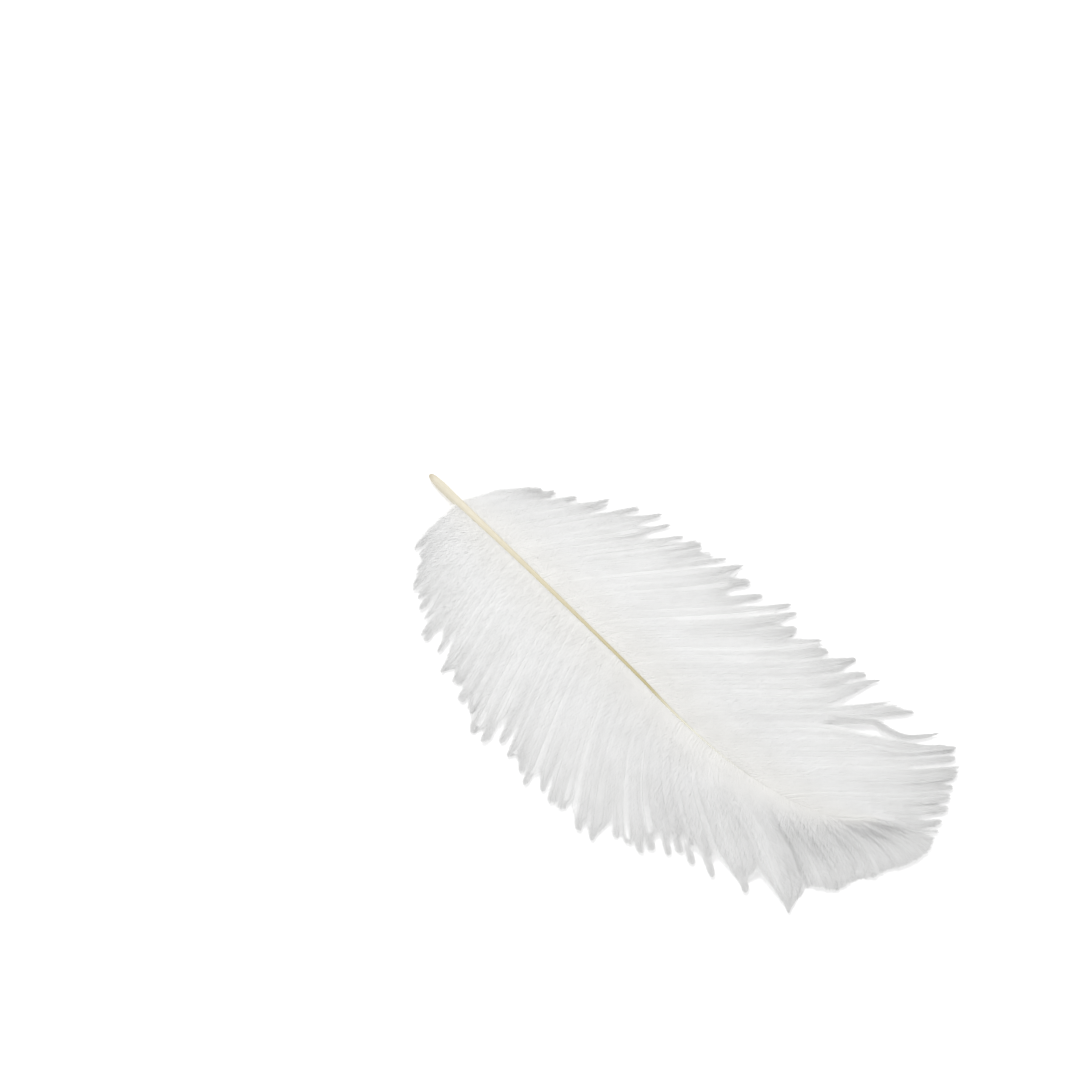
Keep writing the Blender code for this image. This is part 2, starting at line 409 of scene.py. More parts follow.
# Along the shaft from the quill to the tip, where the deep stop past the middle is partly painted shadow,
# and over its streaks
SHAFT_IVORY_AND_SHADOW = (
    (0.0, (0.46, 0.40, 0.29)),
    (0.02, (0.64, 0.60, 0.49)),
    (0.12, (0.66, 0.62, 0.51)),
    (0.35, (0.58, 0.53, 0.38)),
    # partly the shaft's own deeper ivory, partly painted shadow
    (0.62, (0.43, 0.38, 0.21)),
    (0.675, (0.60, 0.57, 0.45)),
    (0.725, (0.66, 0.65, 0.56)),
    (0.85, (0.70, 0.70, 0.66)),
)
SHAFT_STREAKS = ((0.3, (0.90, 0.885, 0.85)), (0.65, (1.0, 1.0, 1.0)))
SHAFT_ROUGHNESS = (0.42, 0.65)
SHAFT_BUMP = 0.35
SHAFT_SPECULAR = 0.3
STREAK_STRETCH = (0.06, 1.0, 1.0)
BUMP_DISTANCE = 0.0001

# Camera: a long lens from the plume's tip side, 43 degrees up and rolled a little
CAMERA_RIGHT = (0.5667, 0.8182, -0.0998)
CAMERA_UP = (-0.5253, 0.4523, 0.722)
CAMERA_TARGET = (-0.0755, 0.0060, 0.0156)
CAMERA_DISTANCE = 2.5
CAMERA_CLIP = (0.05, 30.0)
CAMERA_SENSOR = 36.0
CAMERA_LENS = 210.8
# Studio: one soft lamp above, even light from all round, and a pale floor with a faint glow
LAMP_PLACE = (-1.0, 0.15, 2.05)
LAMP_SIZE = 1.2
LAMP_POWER = 27.0
LAMP_COLOUR = (1.0, 0.998, 0.992)
WORLD_STRENGTH = 0.88
WHITE = (1.0, 1.0, 1.0, 1.0)
FLOOR_SIZE = 12.0
FLOOR_COLOUR = (0.6, 0.6, 0.6, 1.0)
FLOOR_ROUGHNESS = 0.9
FLOOR_GLOW = 0.45


def smooth_line(points, steps=24):
    """Catmull-Rom spline through the points."""
    knots = np.array(points)
    knots = np.vstack((2 * knots[0] - knots[1], knots, 2 * knots[-1] - knots[-2]))
    line = []
    for before, start, end, after in zip(knots, knots[1:], knots[2:], knots[3:]):
        for t in np.arange(steps) / steps:
            line.append(
                start
                + 0.5 * t * (end - before)
                + t**2 * (before - 2.5 * start + 2 * end - 0.5 * after)
                + 0.5 * t**3 * (3 * start - before - 3 * end + after)
            )
    line.append(knots[-2])
    return np.array(line)


SHAFT = smooth_line(SHAFT_LINE)


def along(table, x):
    """Value at x of a table of places and values."""
    places, values = zip(*table)
    return np.interp(x, places, values)


def on_shaft(x):
    """Centre of the shaft at each x along it."""
    x = np.asarray(x, float)
    y = np.interp(x, SHAFT[:, 0], SHAFT[:, 1])
    z = np.interp(x, SHAFT[:, 0], SHAFT[:, 2])
    return np.stack((x, y, z), axis=-1)


def ease(t, low=0.0, high=1.0):
    """Smooth step from 0 at low to 1 at high."""
    t = np.clip((t - low) / (high - low), 0.0, 1.0)
    return t * t * (3 - 2 * t)


def ramp(t, corner=0.15):
    """Straight rise from 0 at 0 to 1 at 1, with rounded corners."""
    return (ramp_area(t + corner) - ramp_area(t - corner)) / (2 * corner)


def ramp_area(t):
    """Area under a straight rise from 0 at 0 to 1 at 1, up to t."""
    return np.where(t < 1, 0.5 * np.maximum(t, 0.0) ** 2, t - 0.5)


def running_total(steps):
    """Sum of the steps up to each point, from 0 at the first."""
    return np.concatenate(((0.0,), np.cumsum(steps)))


def unit(v):
    """Each vector at length 1."""
    return v / np.maximum(np.linalg.norm(v, axis=-1, keepdims=True), 1e-12)


def level_side(ahead):
    """Level direction to the right of each direction ahead."""
    return unit(np.stack((ahead[..., 1], -ahead[..., 0], np.zeros_like(ahead[..., 0])), axis=-1))


def barb_lines(table, roots, shares, turned=0.0):
    """Centre lines of barbs: one row for each root along the shaft, with a point at each share."""
    roots = np.asarray(roots, float)
    places, *columns = np.array(table).T
    *angles, length, start, end = (np.interp(roots, places, column)[:, None] for column in columns)
    middles = (np.arange(BARB_STEPS) + 0.5) / BARB_STEPS
    weights = [np.interp(middles, ANGLE_SHARES, one) for one in np.eye(len(ANGLE_SHARES))]
    angle = np.radians(sum(angle * weight for angle, weight in zip(angles, weights)) + turned)
    spot = np.asarray(shares) * BARB_STEPS
    before = np.minimum(spot.astype(int), BARB_STEPS - 1)
    level = []
    for part in (np.cos(angle), np.sin(angle)):
        walked = np.pad(np.cumsum(part, axis=1), ((0, 0), (1, 0))) * length / BARB_STEPS
        level.append(walked[:, before] + (spot - before) * (walked[:, before + 1] - walked[:, before]))
    fallen = ease(0.0, start, end)
    fall = (ease(np.asarray(shares)[None, :], start, end) - fallen) / (1 - fallen)
    x, y, z = on_shaft(roots).T[:, :, None]
    return np.stack((x + level[0], y + level[1], z + (END_HEIGHT - z) * fall), axis=-1)


def ripple(s, shares, draw):
    """Smooth unevenness that runs along the barbs and changes slowly from one to the next."""
    total = np.zeros((len(s), len(shares)))
    for length, size in RIPPLES:
        phase = draw.uniform(0, math.tau)
        drift = draw.uniform(*RIPPLE_DRIFT)
        total += size * np.sin(math.tau * s[:, None] / length + phase + drift * shares[None, :])
    return total


class Vane:
    """One side of the plume: its edge, the tufts that its barbs finish in, and their centre lines.

    A place on the edge is the distance to it along the even line of the barbs' ends, from the quill's side.
    """

    def __init__(self, table, shares):
        self.table = table
        self.shares = shares
        self.xs = np.linspace(table[0][0], table[-1][0], EDGE_SAMPLES)
        last = barb_lines(table, self.xs, HEADING_SHARES)
        self.ends = last[:, 1]
        self.heading = unit((last[:, 1] - last[:, 0])[:, :2])
        self.edge = running_total(np.linalg.norm(np.diff(self.ends, axis=0), axis=1))

    def edge_at(self, x):
        """Place on the edge of the barb with its root at x."""
        return np.interp(x, self.xs, self.edge)

    def root_at(self, s):
        """Root along the shaft of the barb that ends at a place on the edge."""
        return np.interp(s, self.edge, self.xs)

    def end_at(self, s):
        """Point at a place on the edge."""
        return np.stack([np.interp(s, self.edge, column) for column in self.ends.T], axis=-1)

    def length_at(self, s):
        """Length of the barb that ends at a place on the edge."""
        return np.interp(self.root_at(s), *np.array(self.table).T[[0, LENGTH_COLUMN]])

    def from_end(self, x, y):
        """Place on the edge of the barb that points at a spot, and the way from its end to the spot."""
        way = np.array((x, y)) - self.ends[:, :2]
        beside = np.abs(way[:, 0] * self.heading[:, 1] - way[:, 1] * self.heading[:, 0])
        nearest = np.argmin(beside + DISTANCE_WEIGHT * np.hypot(*way.T))
        return self.edge[nearest], x - self.ends[nearest, 0], y - self.ends[nearest, 1]

    def pull_at(self, s):
        """How far the vane's edge is pulled from its even course."""
        places, x, y = np.array(self.pulls).T
        return np.stack((np.interp(s, places, x), np.interp(s, places, y), np.zeros_like(s)), axis=-1)

    def pulled(self, s, shares):
        """How far this moves the barbs, at shares of their length."""
        return self.pull_at(s)[:, None] * ease(shares, *PULL_SHARES)[None, :, None]

    def find_notches(self, notches):
        """Each notch's place on the edge, and what is left there of the barb that runs through it."""
        s = np.linspace(0.0, self.edge[-1], NOTCH_PLACES)
        lines = barb_lines(self.table, self.root_at(s), NOTCH_SHARES)
        lines += self.pulled(s, NOTCH_SHARES)
        found = []
        for x, y in notches:
            gap = np.hypot(lines[..., 0] - x, lines[..., 1] - y)
            i, j = np.unravel_index(gap.argmin(), gap.shape)
            found.append((s[i], self.length_at(s[i]) * (1 - NOTCH_SHARES[j])))
        return found

    def hidden_tufts(self, place, draw):
        """Tufts from a place on the edge back to the quill's side, drawn at random."""
        rows = []
        place -= draw.uniform(*HIDDEN_WIDTH)
        while place > 0:
            barb = barb_lines(self.table, (self.root_at(place),), HIDDEN_HEADING_SHARES)[0]
            end = barb[1] + unit(barb[1] - barb[0]) * draw.uniform(*HIDDEN_REACH)
            spread = draw.uniform(*HIDDEN_SPREAD)
            lean = draw.uniform(*HIDDEN_LEAN)
            rows.append((end[0], end[1], spread, lean, *draw.uniform(*HIDDEN_SIDES, 2)))
            place -= draw.uniform(*HIDDEN_WIDTH)
        return rows[::-1]

    def set_tufts(self, tufts, notches, corners, margin, draw):
        """The tufts' places and shapes, and the clefts between them with their depths."""
        hidden = self.hidden_tufts(self.from_end(*tufts[0][:2])[0], draw)
        depths = draw.uniform(*HIDDEN_DEPTH, len(hidden))
        rows = np.array(hidden + list(tufts))
        self.spread, self.lean, self.straight_before, self.straight_after = rows.T[2:]
        self.place = np.array([self.from_end(*row[:2])[0] for row in rows])
        # The clefts and the pull on the barbs depend on each other, so they are found in turn
        for _ in range(FITTING_ROUNDS):
            self.set_pulls(rows[:, :2], corners)
            halfway = (self.place[1:] + self.place[:-1]) / 2
            clefts = list(zip(halfway, depths)) + self.find_notches(notches)
            cleft, depth = np.array(clefts).T
            self.low = np.concatenate(((0.0,), cleft))
            self.high = np.concatenate((cleft, (self.edge[-1],)))
            kept = margin * (self.high - self.low)
            self.place = np.clip(self.place, self.low + kept, self.high - kept)
        self.before = np.concatenate(((OUTER_DEPTH,), depth))
        self.after = np.concatenate((depth, (OUTER_DEPTH,)))
        self.twist = draw.uniform(*TWIST, len(rows)) * draw.choice((-1.0, 1.0), len(rows))

    def set_pulls(self, ends, corners):
        """The way from the even edge to each tuft's end, and the part of it that pulls on the edge."""
        self.shift = np.column_stack((ends - self.end_at(self.place)[:, :2], np.zeros(len(ends))))
        ahead = np.stack([np.interp(self.place, self.edge, part) for part in self.heading.T], axis=-1)
        pull = ahead * (self.shift[:, :2] * ahead).sum(axis=1)[:, None]
        self.pulls = sorted(
            [(s, x, y) for s, (x, y) in zip(self.place, pull)]
            + [self.from_end(*corner) for corner in corners]
        )

    def lay_barbs(self, roughness, draw):
        """The barbs, from their roots to their ends."""
        self.set_roots(draw)
        self.set_lines(draw)
        self.lift_lines(roughness, draw)
        self.set_ends(draw)

    def set_roots(self, draw):
        """Roots of the barbs, closer along the shaft where the vane fans out at its tip."""
        rate = np.maximum(np.diff(self.xs) / BARB_PITCH, np.diff(self.edge) / EDGE_PITCH)
        walked = running_total(rate)
        count = int(walked[-1])
        places = np.arange(count) + 0.5 + draw.uniform(-ROOT_JITTER, ROOT_JITTER, count)
        self.roots = np.interp(places, walked, self.xs)
        self.s = self.edge_at(self.roots)
        self.down = 1 - ease(self.roots, DOWN_START, DOWN_END)
        self.tuft = np.clip(np.searchsorted(self.high, self.s), 0, len(self.place) - 1)
        # Where in its tuft each barb is, from -1 to 1
        tuft, middle = self.tuft, self.place[self.tuft]
        before = np.maximum(middle - self.low[tuft], LEAST_HALF)
        after = np.maximum(self.high[tuft] - middle, LEAST_HALF)
        self.side = np.clip((self.s - middle) / np.where(self.s < middle, before, after), -1, 1)
        self.half = self.mixed(before, after)
        self.depth = self.mixed(self.before[tuft], self.after[tuft])
        self.straight = self.mixed(self.straight_before[tuft], self.straight_after[tuft])

    def mixed(self, before, after):
        """Value at each barb's place in its tuft, from the values at the tuft's two sides."""
        return before + (after - before) * (self.side + 1) / 2

    def set_lines(self, draw):
        """Centre lines of the barbs, gathered into their tufts."""
        count, tuft, shares = len(self.roots), self.tuft, self.shares
        own = barb_lines(self.table, self.roots, shares, draw.normal(0.0, ANGLE_JITTER, (count, 1)))
        middle = barb_lines(self.table, self.root_at(self.place), shares)[tuft]
        self.length = self.length_at(self.s)
        left = self.length[:, None] * (1 - shares)
        moved = np.maximum(self.half - self.spread[tuft], 0.0)
        run = np.maximum(self.straight * self.depth, LEAST_RUN + RUN_GROWTH * moved)
        start = self.depth + run * np.minimum(NOTCH_OPENING / np.maximum(moved, LEAST_MOVED), 0.5)
        gather = 1 - ramp((left - (start - run)[:, None]) / run[:, None])
        self.drawn = gather * (moved / self.half)[:, None]
        self.apart = 1 - ease(left, self.depth[:, None], self.depth[:, None] + APART_RUN)
        lines = middle + (own - middle) * (1 - self.drawn)[..., None]
        lines += self.pulled(self.s, shares)
        lines += (self.shift[tuft] - self.pull_at(self.s))[:, None] * self.drawn[..., None]
        beside = level_side(unit(np.gradient(lines, axis=1)))
        self.lines = lines + beside * self.sway(draw)[..., None]

    def sway(self, draw):
        """How far the barbs wander to the side."""
        sway = ripple(self.s, self.shares, draw) * SWAY
        turn = DOWN_WAVES * self.shares + draw.uniform(0, math.tau, (len(self.roots), 1))
        sway += DOWN_SWAY * self.down[:, None] * np.sin(turn)
        return sway * ease(self.shares, *SWAY_SHARES)

    def lift_lines(self, roughness, draw):
        """Uneven heights: the tufts' crowns and twists, the swell beside the shaft and the rise to it."""
        shares = self.shares
        rough = along(roughness, self.roots)
        twist = self.twist[self.tuft] * self.side * rough
        crown = (0.5 - self.side**2) * np.clip(CROWN_RISE * self.half, *CROWN_LIMITS)
        outer = ease(shares, *OUTER_SHARES)
        lift = rough[:, None] * ripple(self.s, shares, draw) * ease(shares, *LIFT_SHARES)
        lift += self.apart**2 * outer * twist[:, None]
        lift += self.apart * outer * crown[:, None]
        lift += draw.normal(0.0, HEIGHT_JITTER, (len(self.roots), 1)) * ease(shares, *JITTER_SHARES)
        lift *= 1 - FLATTENING * self.drawn
        far = self.length[:, None] * shares / SWELL_DISTANCE
        lift += along(SWELL, self.roots)[:, None] * far * np.exp(1 - far)
        rise = along(ROOT_RISE, self.roots) * along(SHAFT_RADIUS, self.roots)
        rise += along(ROOT_COVER, self.roots)
        lift += rise[:, None] * (1 - shares) ** 3
        self.lines[..., 2] = np.maximum(self.lines[..., 2] + lift, LEAST_HEIGHT)

    def press_pleats(self, pleats):
        """Lengthwise hollows in the vane."""
        for x, y, half_width, depth in pleats:
            off = (self.s - self.from_end(x, y)[0]) / half_width
            self.lines[..., 2] -= depth * np.exp(-(off**2))[:, None] * ease(self.shares, *PLEAT_SHARES)
        self.lines[..., 2] = np.maximum(self.lines[..., 2], LEAST_HEIGHT)

    def set_ends(self, draw):
        """The share of each barb that is kept, and how far its barbules reach and narrow at its end."""
        tuft, side, count = self.tuft, self.side, len(self.tuft)
        taper = np.minimum(self.depth * (TAPER + STRAIGHT_TAPER * self.straight), MOST_TAPER)
        short = np.abs(side) ** TAPER_POWER * taper
        short += ROUNDING * side**4 * np.minimum(self.spread[tuft], MOST_ROUNDED)
        short += np.abs(self.lean[tuft]) * (1 - np.sign(self.lean[tuft]) * side) / 2
        short += END_SHORT + END_JITTER * draw.uniform(0.0, 1.0, count)
        self.keep = 1 - short / self.length
        self.wide = 1 + DOWN_REACH * self.down
        self.point = self.straight
        # Barbs of the vane are on strand 0, and each tuft or stray strand has a number of its own
        self.strand = np.zeros(count, int)
        self.number = tuft
        # Each barb's length counts fully for the painted shade at the ends; stray strands count less and
        # come out darker
        self.fade = np.ones(count)

    def add_strays(self, strays, draw):
        """Strands that leave the others' surface and follow courses of their own."""
        for number, (x, leaving, course, wide, count) in enumerate(strays, 1):
            order = np.arange(count) - (count - 1) / 2
            self.add_barbs(
                lines=self.stray_lines(x, leaving, np.array(course), order),
                keep=STRAY_KEEP - STRAY_STAGGER * np.abs(order) - draw.uniform(*STRAY_JITTER, count),
                wide=np.full(count, wide),
                point=np.ones(count),
                down=np.zeros(count),
                strand=np.full(count, number),
                number=np.full(count, -number),
                fade=np.full(count, STRAY_END_SHADE_SCALE),
            )

    def add_barbs(self, **values):
        """Puts more barbs after the vane's, by their values for each of the names."""
        for name, more in values.items():
            setattr(self, name, np.concatenate((getattr(self, name), more)))

    def stray_lines(self, x, leaving, course, order):
        """Centre lines of a strand, which leaves the vane at a share of its barbs' length."""
        beside = np.sign(self.table[-1][1]) * level_side(np.gradient(course, axis=0))
        own = barb_lines(self.table, x + order * BARB_PITCH, self.shares)
        own[..., 2] -= STRAY_DROP * ease(self.shares, STRAY_SINKING * leaving, leaving)
        lines = []
        for place, line in zip(order, own):
            inner = line[self.shares < leaving][::STRAY_POINTS]
            knots = np.vstack((inner, course + place * STRAND_PITCH * beside))
            lines.append(self.resampled(smooth_line(knots, STRAY_STEPS)))
        return lines

    def resampled(self, line):
        """Points of a line at the vane's shares of its length."""
        walked = running_total(np.linalg.norm(np.diff(line, axis=0), axis=1))
        return np.column_stack([np.interp(self.shares, walked / walked[-1], column) for column in line.T])


class Barbs:
    """The barbs of a vane up to their own ends, with the directions ahead, beside and above."""

    def __init__(self, vane):
        self.vane = vane
        self.shares = vane.shares
        every = np.arange(len(vane.keep))[:, None]
        self.lines = self.between(vane.lines, every, vane.keep[:, None] * vane.shares)
        self.ahead = unit(np.gradient(self.lines, axis=1))
        self.beside = level_side(self.ahead)
        self.above = unit(np.cross(self.beside, self.ahead))
        self.length = np.linalg.norm(np.diff(self.lines, axis=1), axis=2).sum(axis=1)

    def between(self, values, owner, where):
        """Values of the owner barbs at shares of their length."""
        last = len(self.shares) - 1
        spot = np.interp(where, self.shares, np.arange(last + 1))
        low = np.minimum(spot.astype(int), last - 1)
        part = (spot - low)[..., None]
        return values[owner, low] * (1 - part) + values[owner, low + 1] * part

    def lengthwise(self, owner, where):
        """Coordinates along a barb: its share, and what is left of it up to a limit, which sets the painted
        shade at its end.
        """
        left = self.length[owner] * self.vane.fade[owner] * (1 - where)
        return np.stack((where, np.minimum(left / UV_REACH, 1.0)), axis=-1)

    def stems(self, chosen):
        """Each barb's own stem, with three sides."""
        line = self.lines[chosen]
        radius = (STEM_RADIUS * (1 - STEM_TAPER * self.shares))[None, :, None]
        beside = self.beside[chosen] * radius
        ring = np.stack((line + beside, line + self.above[chosen] * radius, line - beside), axis=2)
        index = np.arange(ring[..., 0].size).reshape(ring.shape[:3])
        where = np.broadcast_to(self.shares, line.shape[:2])
        uv = np.repeat(self.lengthwise(chosen[:, None], where), ring.shape[2], axis=1)
        return ring.reshape(-1, 3), [tube_faces(index)], uv.reshape(-1, 2)

    def web(self, chosen):
        """The finest down as one thin layer just under the barbs, from each barb to the next."""
        strand, number = self.vane.strand, self.vane.number
        pairs = chosen[chosen + 1 < len(strand)]
        pairs = pairs[strand[pairs] == strand[pairs + 1]]
        owner = np.stack((pairs, pairs + 1), axis=1)
        line = self.lines[owner] - self.above[owner] * WEB_DROP
        line[:, :, -1] -= self.ahead[owner][:, :, -1] * WEB_SHORT
        line[..., 2] = np.maximum(line[..., 2], WEB_HEIGHT)
        width = np.linalg.norm(line[:, 1] - line[:, 0], axis=-1)
        limit = np.where(number[pairs] == number[pairs + 1], WEB_WIDTH, CLEFT_WIDTH)[:, None]
        closed = (width[:, :-1] < limit) & (width[:, 1:] < limit)
        index = np.arange(line[..., 0].size).reshape(line.shape[:3])
        first, second = index[:, 0], index[:, 1]
        quads = np.stack((first[:, :-1], second[:, :-1], second[:, 1:], first[:, 1:]), axis=-1)[closed]
        # On the near vane the barbs follow each other the other way round, so its faces are turned over
        if self.vane.table[0][1] < 0:
            quads = quads[:, ::-1]
        where = np.broadcast_to(self.shares, line.shape[:3])
        uv = self.lengthwise(owner[..., None], where).reshape(-1, 2)
        used, quads = np.unique(quads, return_inverse=True)
        return line.reshape(-1, 3)[used], [quads.reshape(-1, 4)], uv[used]

    def barbules(self, chosen, way, draw):
        """Flat pointed barbules at even steps along one side of each barb, closing round its end."""
        steps = np.maximum((self.length[chosen] / BARBULE_PITCH).astype(int), LEAST_BARBULES)
        owner = np.repeat(chosen, steps)
        count = len(owner)
        order = np.arange(count) - np.repeat(np.cumsum(steps) - steps, steps)
        jitter = draw.uniform(-BARBULE_JITTER, BARBULE_JITTER, count)
        where = (order + 0.5 + jitter) / np.repeat(steps, steps)
        angle, size = self.barbule_sizes(owner, where, draw)
        tilt = np.radians(draw.normal(*BARBULE_TILT, count))
        place = self.between(self.lines, owner, where)
        ahead = unit(self.between(self.ahead, owner, where))
        out = unit(self.between(self.beside, owner, where)) * way
        above = np.cross(out, ahead) * way
        first = slanted(ahead, out, above, FIRST_TURN * angle, tilt)
        second = slanted(ahead, out, above, SECOND_TURN * angle, tilt - np.radians(SECOND_DIP))
        middle = place + first * (0.5 * size)[:, None]
        end = middle + second * (0.5 * size)[:, None]
        width = BARBULE_WIDTH * draw.uniform(*WIDTH_JITTER, count)[:, None] / 2
        root_side = unit(np.cross(above, first)) * width
        middle_side = unit(np.cross(above, second)) * width * MIDDLE_WIDTH
        five = np.stack(
            (place - root_side, place + root_side, middle + middle_side, middle - middle_side, end), axis=1
        )
        five[..., 2] = np.maximum(five[..., 2], BARBULE_HEIGHT)
        index = np.arange(count * 5).reshape(count, 5)
        uv = np.repeat(self.lengthwise(owner, where), 5, axis=0)
        return five.reshape(-1, 3), [index[:, :4], index[:, [3, 2, 4]]], uv

    def barbule_sizes(self, owner, where, draw):
        """Barbules' angles from the way ahead, and their sizes, which make a half circle round the end."""
        count = len(owner)
        gone = where * self.length[owner]
        left = self.length[owner] - gone
        turn = np.minimum(left / CAP_LENGTH, 1.0) * math.pi / 2
        reach = np.interp(left, REACH_RUN, BARBULE_REACH) * self.vane.wide[owner]
        reach *= 1 - POINT_NARROWING * self.vane.point[owner] * (1 - ease(left, *POINT_RUN))
        sideways = reach * np.sin(turn)
        forward = np.minimum(left, CAP_LENGTH) - CAP_CENTRE + reach * np.cos(turn)
        jitter = BARBULE_TURN + DOWN_TURN * self.vane.down[owner]
        angle = np.arctan2(sideways, forward) + np.radians(draw.normal(0, 1, count) * jitter)
        size = np.hypot(sideways, forward) * draw.uniform(*SIZE_JITTER, count)
        size *= ROOT_SIZE + (1 - ROOT_SIZE) * ease(gone, *ROOT_SIZE_RUN)
        size *= 1 + INNER_GROWTH * ease(left, *INNER_GROWTH_RUN)
        return angle, size


def slanted(ahead, out, above, angle, tilt):
    """Directions at an angle from the one ahead, tilted up from level."""
    angle, tilt = angle[:, None], tilt[:, None]
    return unit(np.cos(angle) * ahead + np.sin(angle) * (out * np.cos(tilt) + above * np.sin(tilt)))


def tube_faces(index):
    """Faces from each ring of corner points to the next: the numbers' last axis goes round a ring."""
    here, there = index[..., :-1, :], index[..., 1:, :]
    turned = np.roll(np.arange(index.shape[-1]), -1)
    return np.stack((here, here[..., turned], there[..., turned], there), axis=-1).reshape(-1, 4)


def joined(parts):
    """Corner points, lists of faces and coordinates of several parts as one."""
    corners, faces_of, uvs = [], [], []
    base = 0
    for points, faces, uv in parts:
        corners.append(points)
        faces_of += [face + base for face in faces]
        uvs.append(uv)
        base += len(points)
    return np.concatenate(corners), faces_of, np.concatenate(uvs)


def mesh_piece(name, corners, faces_of, uvs, material):
    """A mesh object from corner points in the plume's frame and lists of faces of equal size."""
    mesh = bpy.data.meshes.new(name)
    points = np.array(corners, float)
    points[:, :2] -= BOX_CENTRE
    points *= MM
    mesh.vertices.add(len(points))
    mesh.vertices.foreach_set("co", points.astype(np.float32).ravel())
    sizes = np.concatenate([np.full(len(faces), faces.shape[1]) for faces in faces_of])
    loops = np.concatenate([faces.ravel() for faces in faces_of])
    mesh.loops.add(len(loops))
    mesh.loops.foreach_set("vertex_index", loops.astype(np.int32))
    mesh.polygons.add(len(sizes))
    starts = np.cumsum(sizes) - sizes
    mesh.polygons.foreach_set("loop_start", starts.astype(np.int32))
    mesh.update(calc_edges=True)
    for layer, values in uvs.items():
        uv = mesh.uv_layers.new(name=layer)
        uv.data.foreach_set("uv", values[loops].astype(np.float32).ravel())
    mesh.polygons.foreach_set("use_smooth", np.ones(len(sizes), dtype=bool))
    mesh.materials.append(material)
    piece = bpy.data.objects.new(name, mesh)
    bpy.context.scene.collection.objects.link(piece)
    return piece


def top_uv(corners):
    """Coordinates seen from above, slanted a little so that no upright face is flat in them."""
    x, y, z = corners.T
    across = x + UV_SLANT[0] * z + UV_START[0]
    upward = y + UV_SLANT[1] * z + UV_START[1]
    return np.column_stack((across, upward)) / UV_SIZE


def make_vane(name, vane, parts, draw, material):
    """The vane as pieces of about equal numbers of barbules."""
    barbs = Barbs(vane)
    total = np.cumsum(barbs.length)
    cuts = np.searchsorted(total, np.linspace(0, total[-1], len(parts) + 1)[1:-1])
    pieces = []
    for part, chosen in zip(parts, np.split(np.arange(len(total)), cuts)):
        corners, faces_of, lengthwise = joined((
            barbs.stems(chosen),
            barbs.web(chosen),
            barbs.barbules(chosen, -1.0, draw),
            barbs.barbules(chosen, 1.0, draw),
        ))
        uvs = {"OFBake": top_uv(corners), "Barb": lengthwise}
        pieces.append(mesh_piece(f"{name}_{part}", corners, faces_of, uvs, material))
    return pieces


def make_shaft(material):
    """The quill and rachis as one tapered tube with pointed ends."""
    sides, rings = SHAFT_SIDES, SHAFT_RINGS
    length = SHAFT_LINE[-1][0] - SHAFT_LINE[0][0]
    xs = SHAFT_LINE[0][0] + length * np.linspace(0.0, 1.0, rings) ** RING_CROWDING
    line = on_shaft(xs)
    tangent = unit(np.gradient(line, axis=0))
    side = level_side(tangent)
    up = np.cross(side, tangent)
    radius = along(SHAFT_RADIUS, xs)[:, None, None]
    turn = (np.arange(sides) / sides * math.tau)[None, :, None]
    ring = line[:, None, :] + radius * (np.cos(turn) * side[:, None, :] + np.sin(turn) * up[:, None, :])
    points = (line[0] - tangent[0] * SHAFT_POINT, line[-1] + tangent[-1] * SHAFT_POINT)
    corners = np.vstack((ring.reshape(-1, 3), *points))
    index = np.arange(rings * sides).reshape(rings, sides)
    turned = np.roll(np.arange(sides), -1)
    start = np.column_stack((np.full(sides, rings * sides), index[0][turned], index[0]))
    end = np.column_stack((np.full(sides, rings * sides + 1), index[-1], index[-1][turned]))
    u = np.repeat(UV_MARGIN + (1 - 2 * UV_MARGIN) * (xs - xs[0]) / length, sides)
    v = np.tile(np.abs(np.arange(sides) / sides - 0.5) * 2, rings)
    uv = np.vstack((np.column_stack((u, v)), (0.0, 0.5), (1.0, 0.5)))
    return mesh_piece("shaft", corners, [tube_faces(index), start, end], {"OFBake": uv}, material)


def nodes_of(name):
    """A new material with its node tree and its surface shader."""
    material = bpy.data.materials.new(name)
    material.use_nodes = True
    return material, material.node_tree, material.node_tree.nodes["Principled BSDF"]


def set_inputs(tree, node, **inputs):
    """Sets a node's inputs by their names, or links them where another node's output is given."""
    for name, value in inputs.items():
        socket = node.inputs[name.replace("_", " ")]
        if isinstance(value, bpy.types.NodeSocket):
            tree.links.new(value, socket)
        else:
            socket.default_value = value


def add_node(tree, kind, **inputs):
    """A new node with these inputs."""
    node = tree.nodes.new(kind)
    set_inputs(tree, node, **inputs)
    return node


def object_place(tree):
    """Place in the object's own coordinates."""
    return add_node(tree, "ShaderNodeTexCoord").outputs["Object"]


def uv_parts(tree, layer):
    """The two coordinates of a layer."""
    uv = add_node(tree, "ShaderNodeUVMap")
    uv.uv_map = layer
    split = add_node(tree, "ShaderNodeSeparateXYZ", Vector=uv.outputs["UV"])
    return split.outputs["X"], split.outputs["Y"]


def noise(tree, place, **settings):
    """Smooth random values from 0 to 1."""
    return add_node(tree, "ShaderNodeTexNoise", Vector=place, **settings).outputs["Fac"]


def coloured(tree, source, stops):
    """Colours for the values of a source, between stops of a value and a colour."""
    node = add_node(tree, "ShaderNodeValToRGB", Fac=source)
    elements = node.color_ramp.elements
    while len(elements) < len(stops):
        elements.new(0.5)
    for element, (position, colour) in zip(elements, stops):
        element.position = position
        element.color = (*colour, 1.0)
    return node.outputs["Color"]


def multiplied(tree, first, second):
    """One colour times another."""
    node = add_node(tree, "ShaderNodeMix")
    node.data_type = "RGBA"
    node.blend_type = "MULTIPLY"
    set_inputs(tree, node, Factor=1.0, A=first, B=second)
    return node.outputs["Result"]


def ranged(tree, source, limits):
    """Values from 0 to 1 as values between two limits."""
    low, high = limits
    return add_node(tree, "ShaderNodeMapRange", Value=source, To_Min=low, To_Max=high).outputs["Result"]


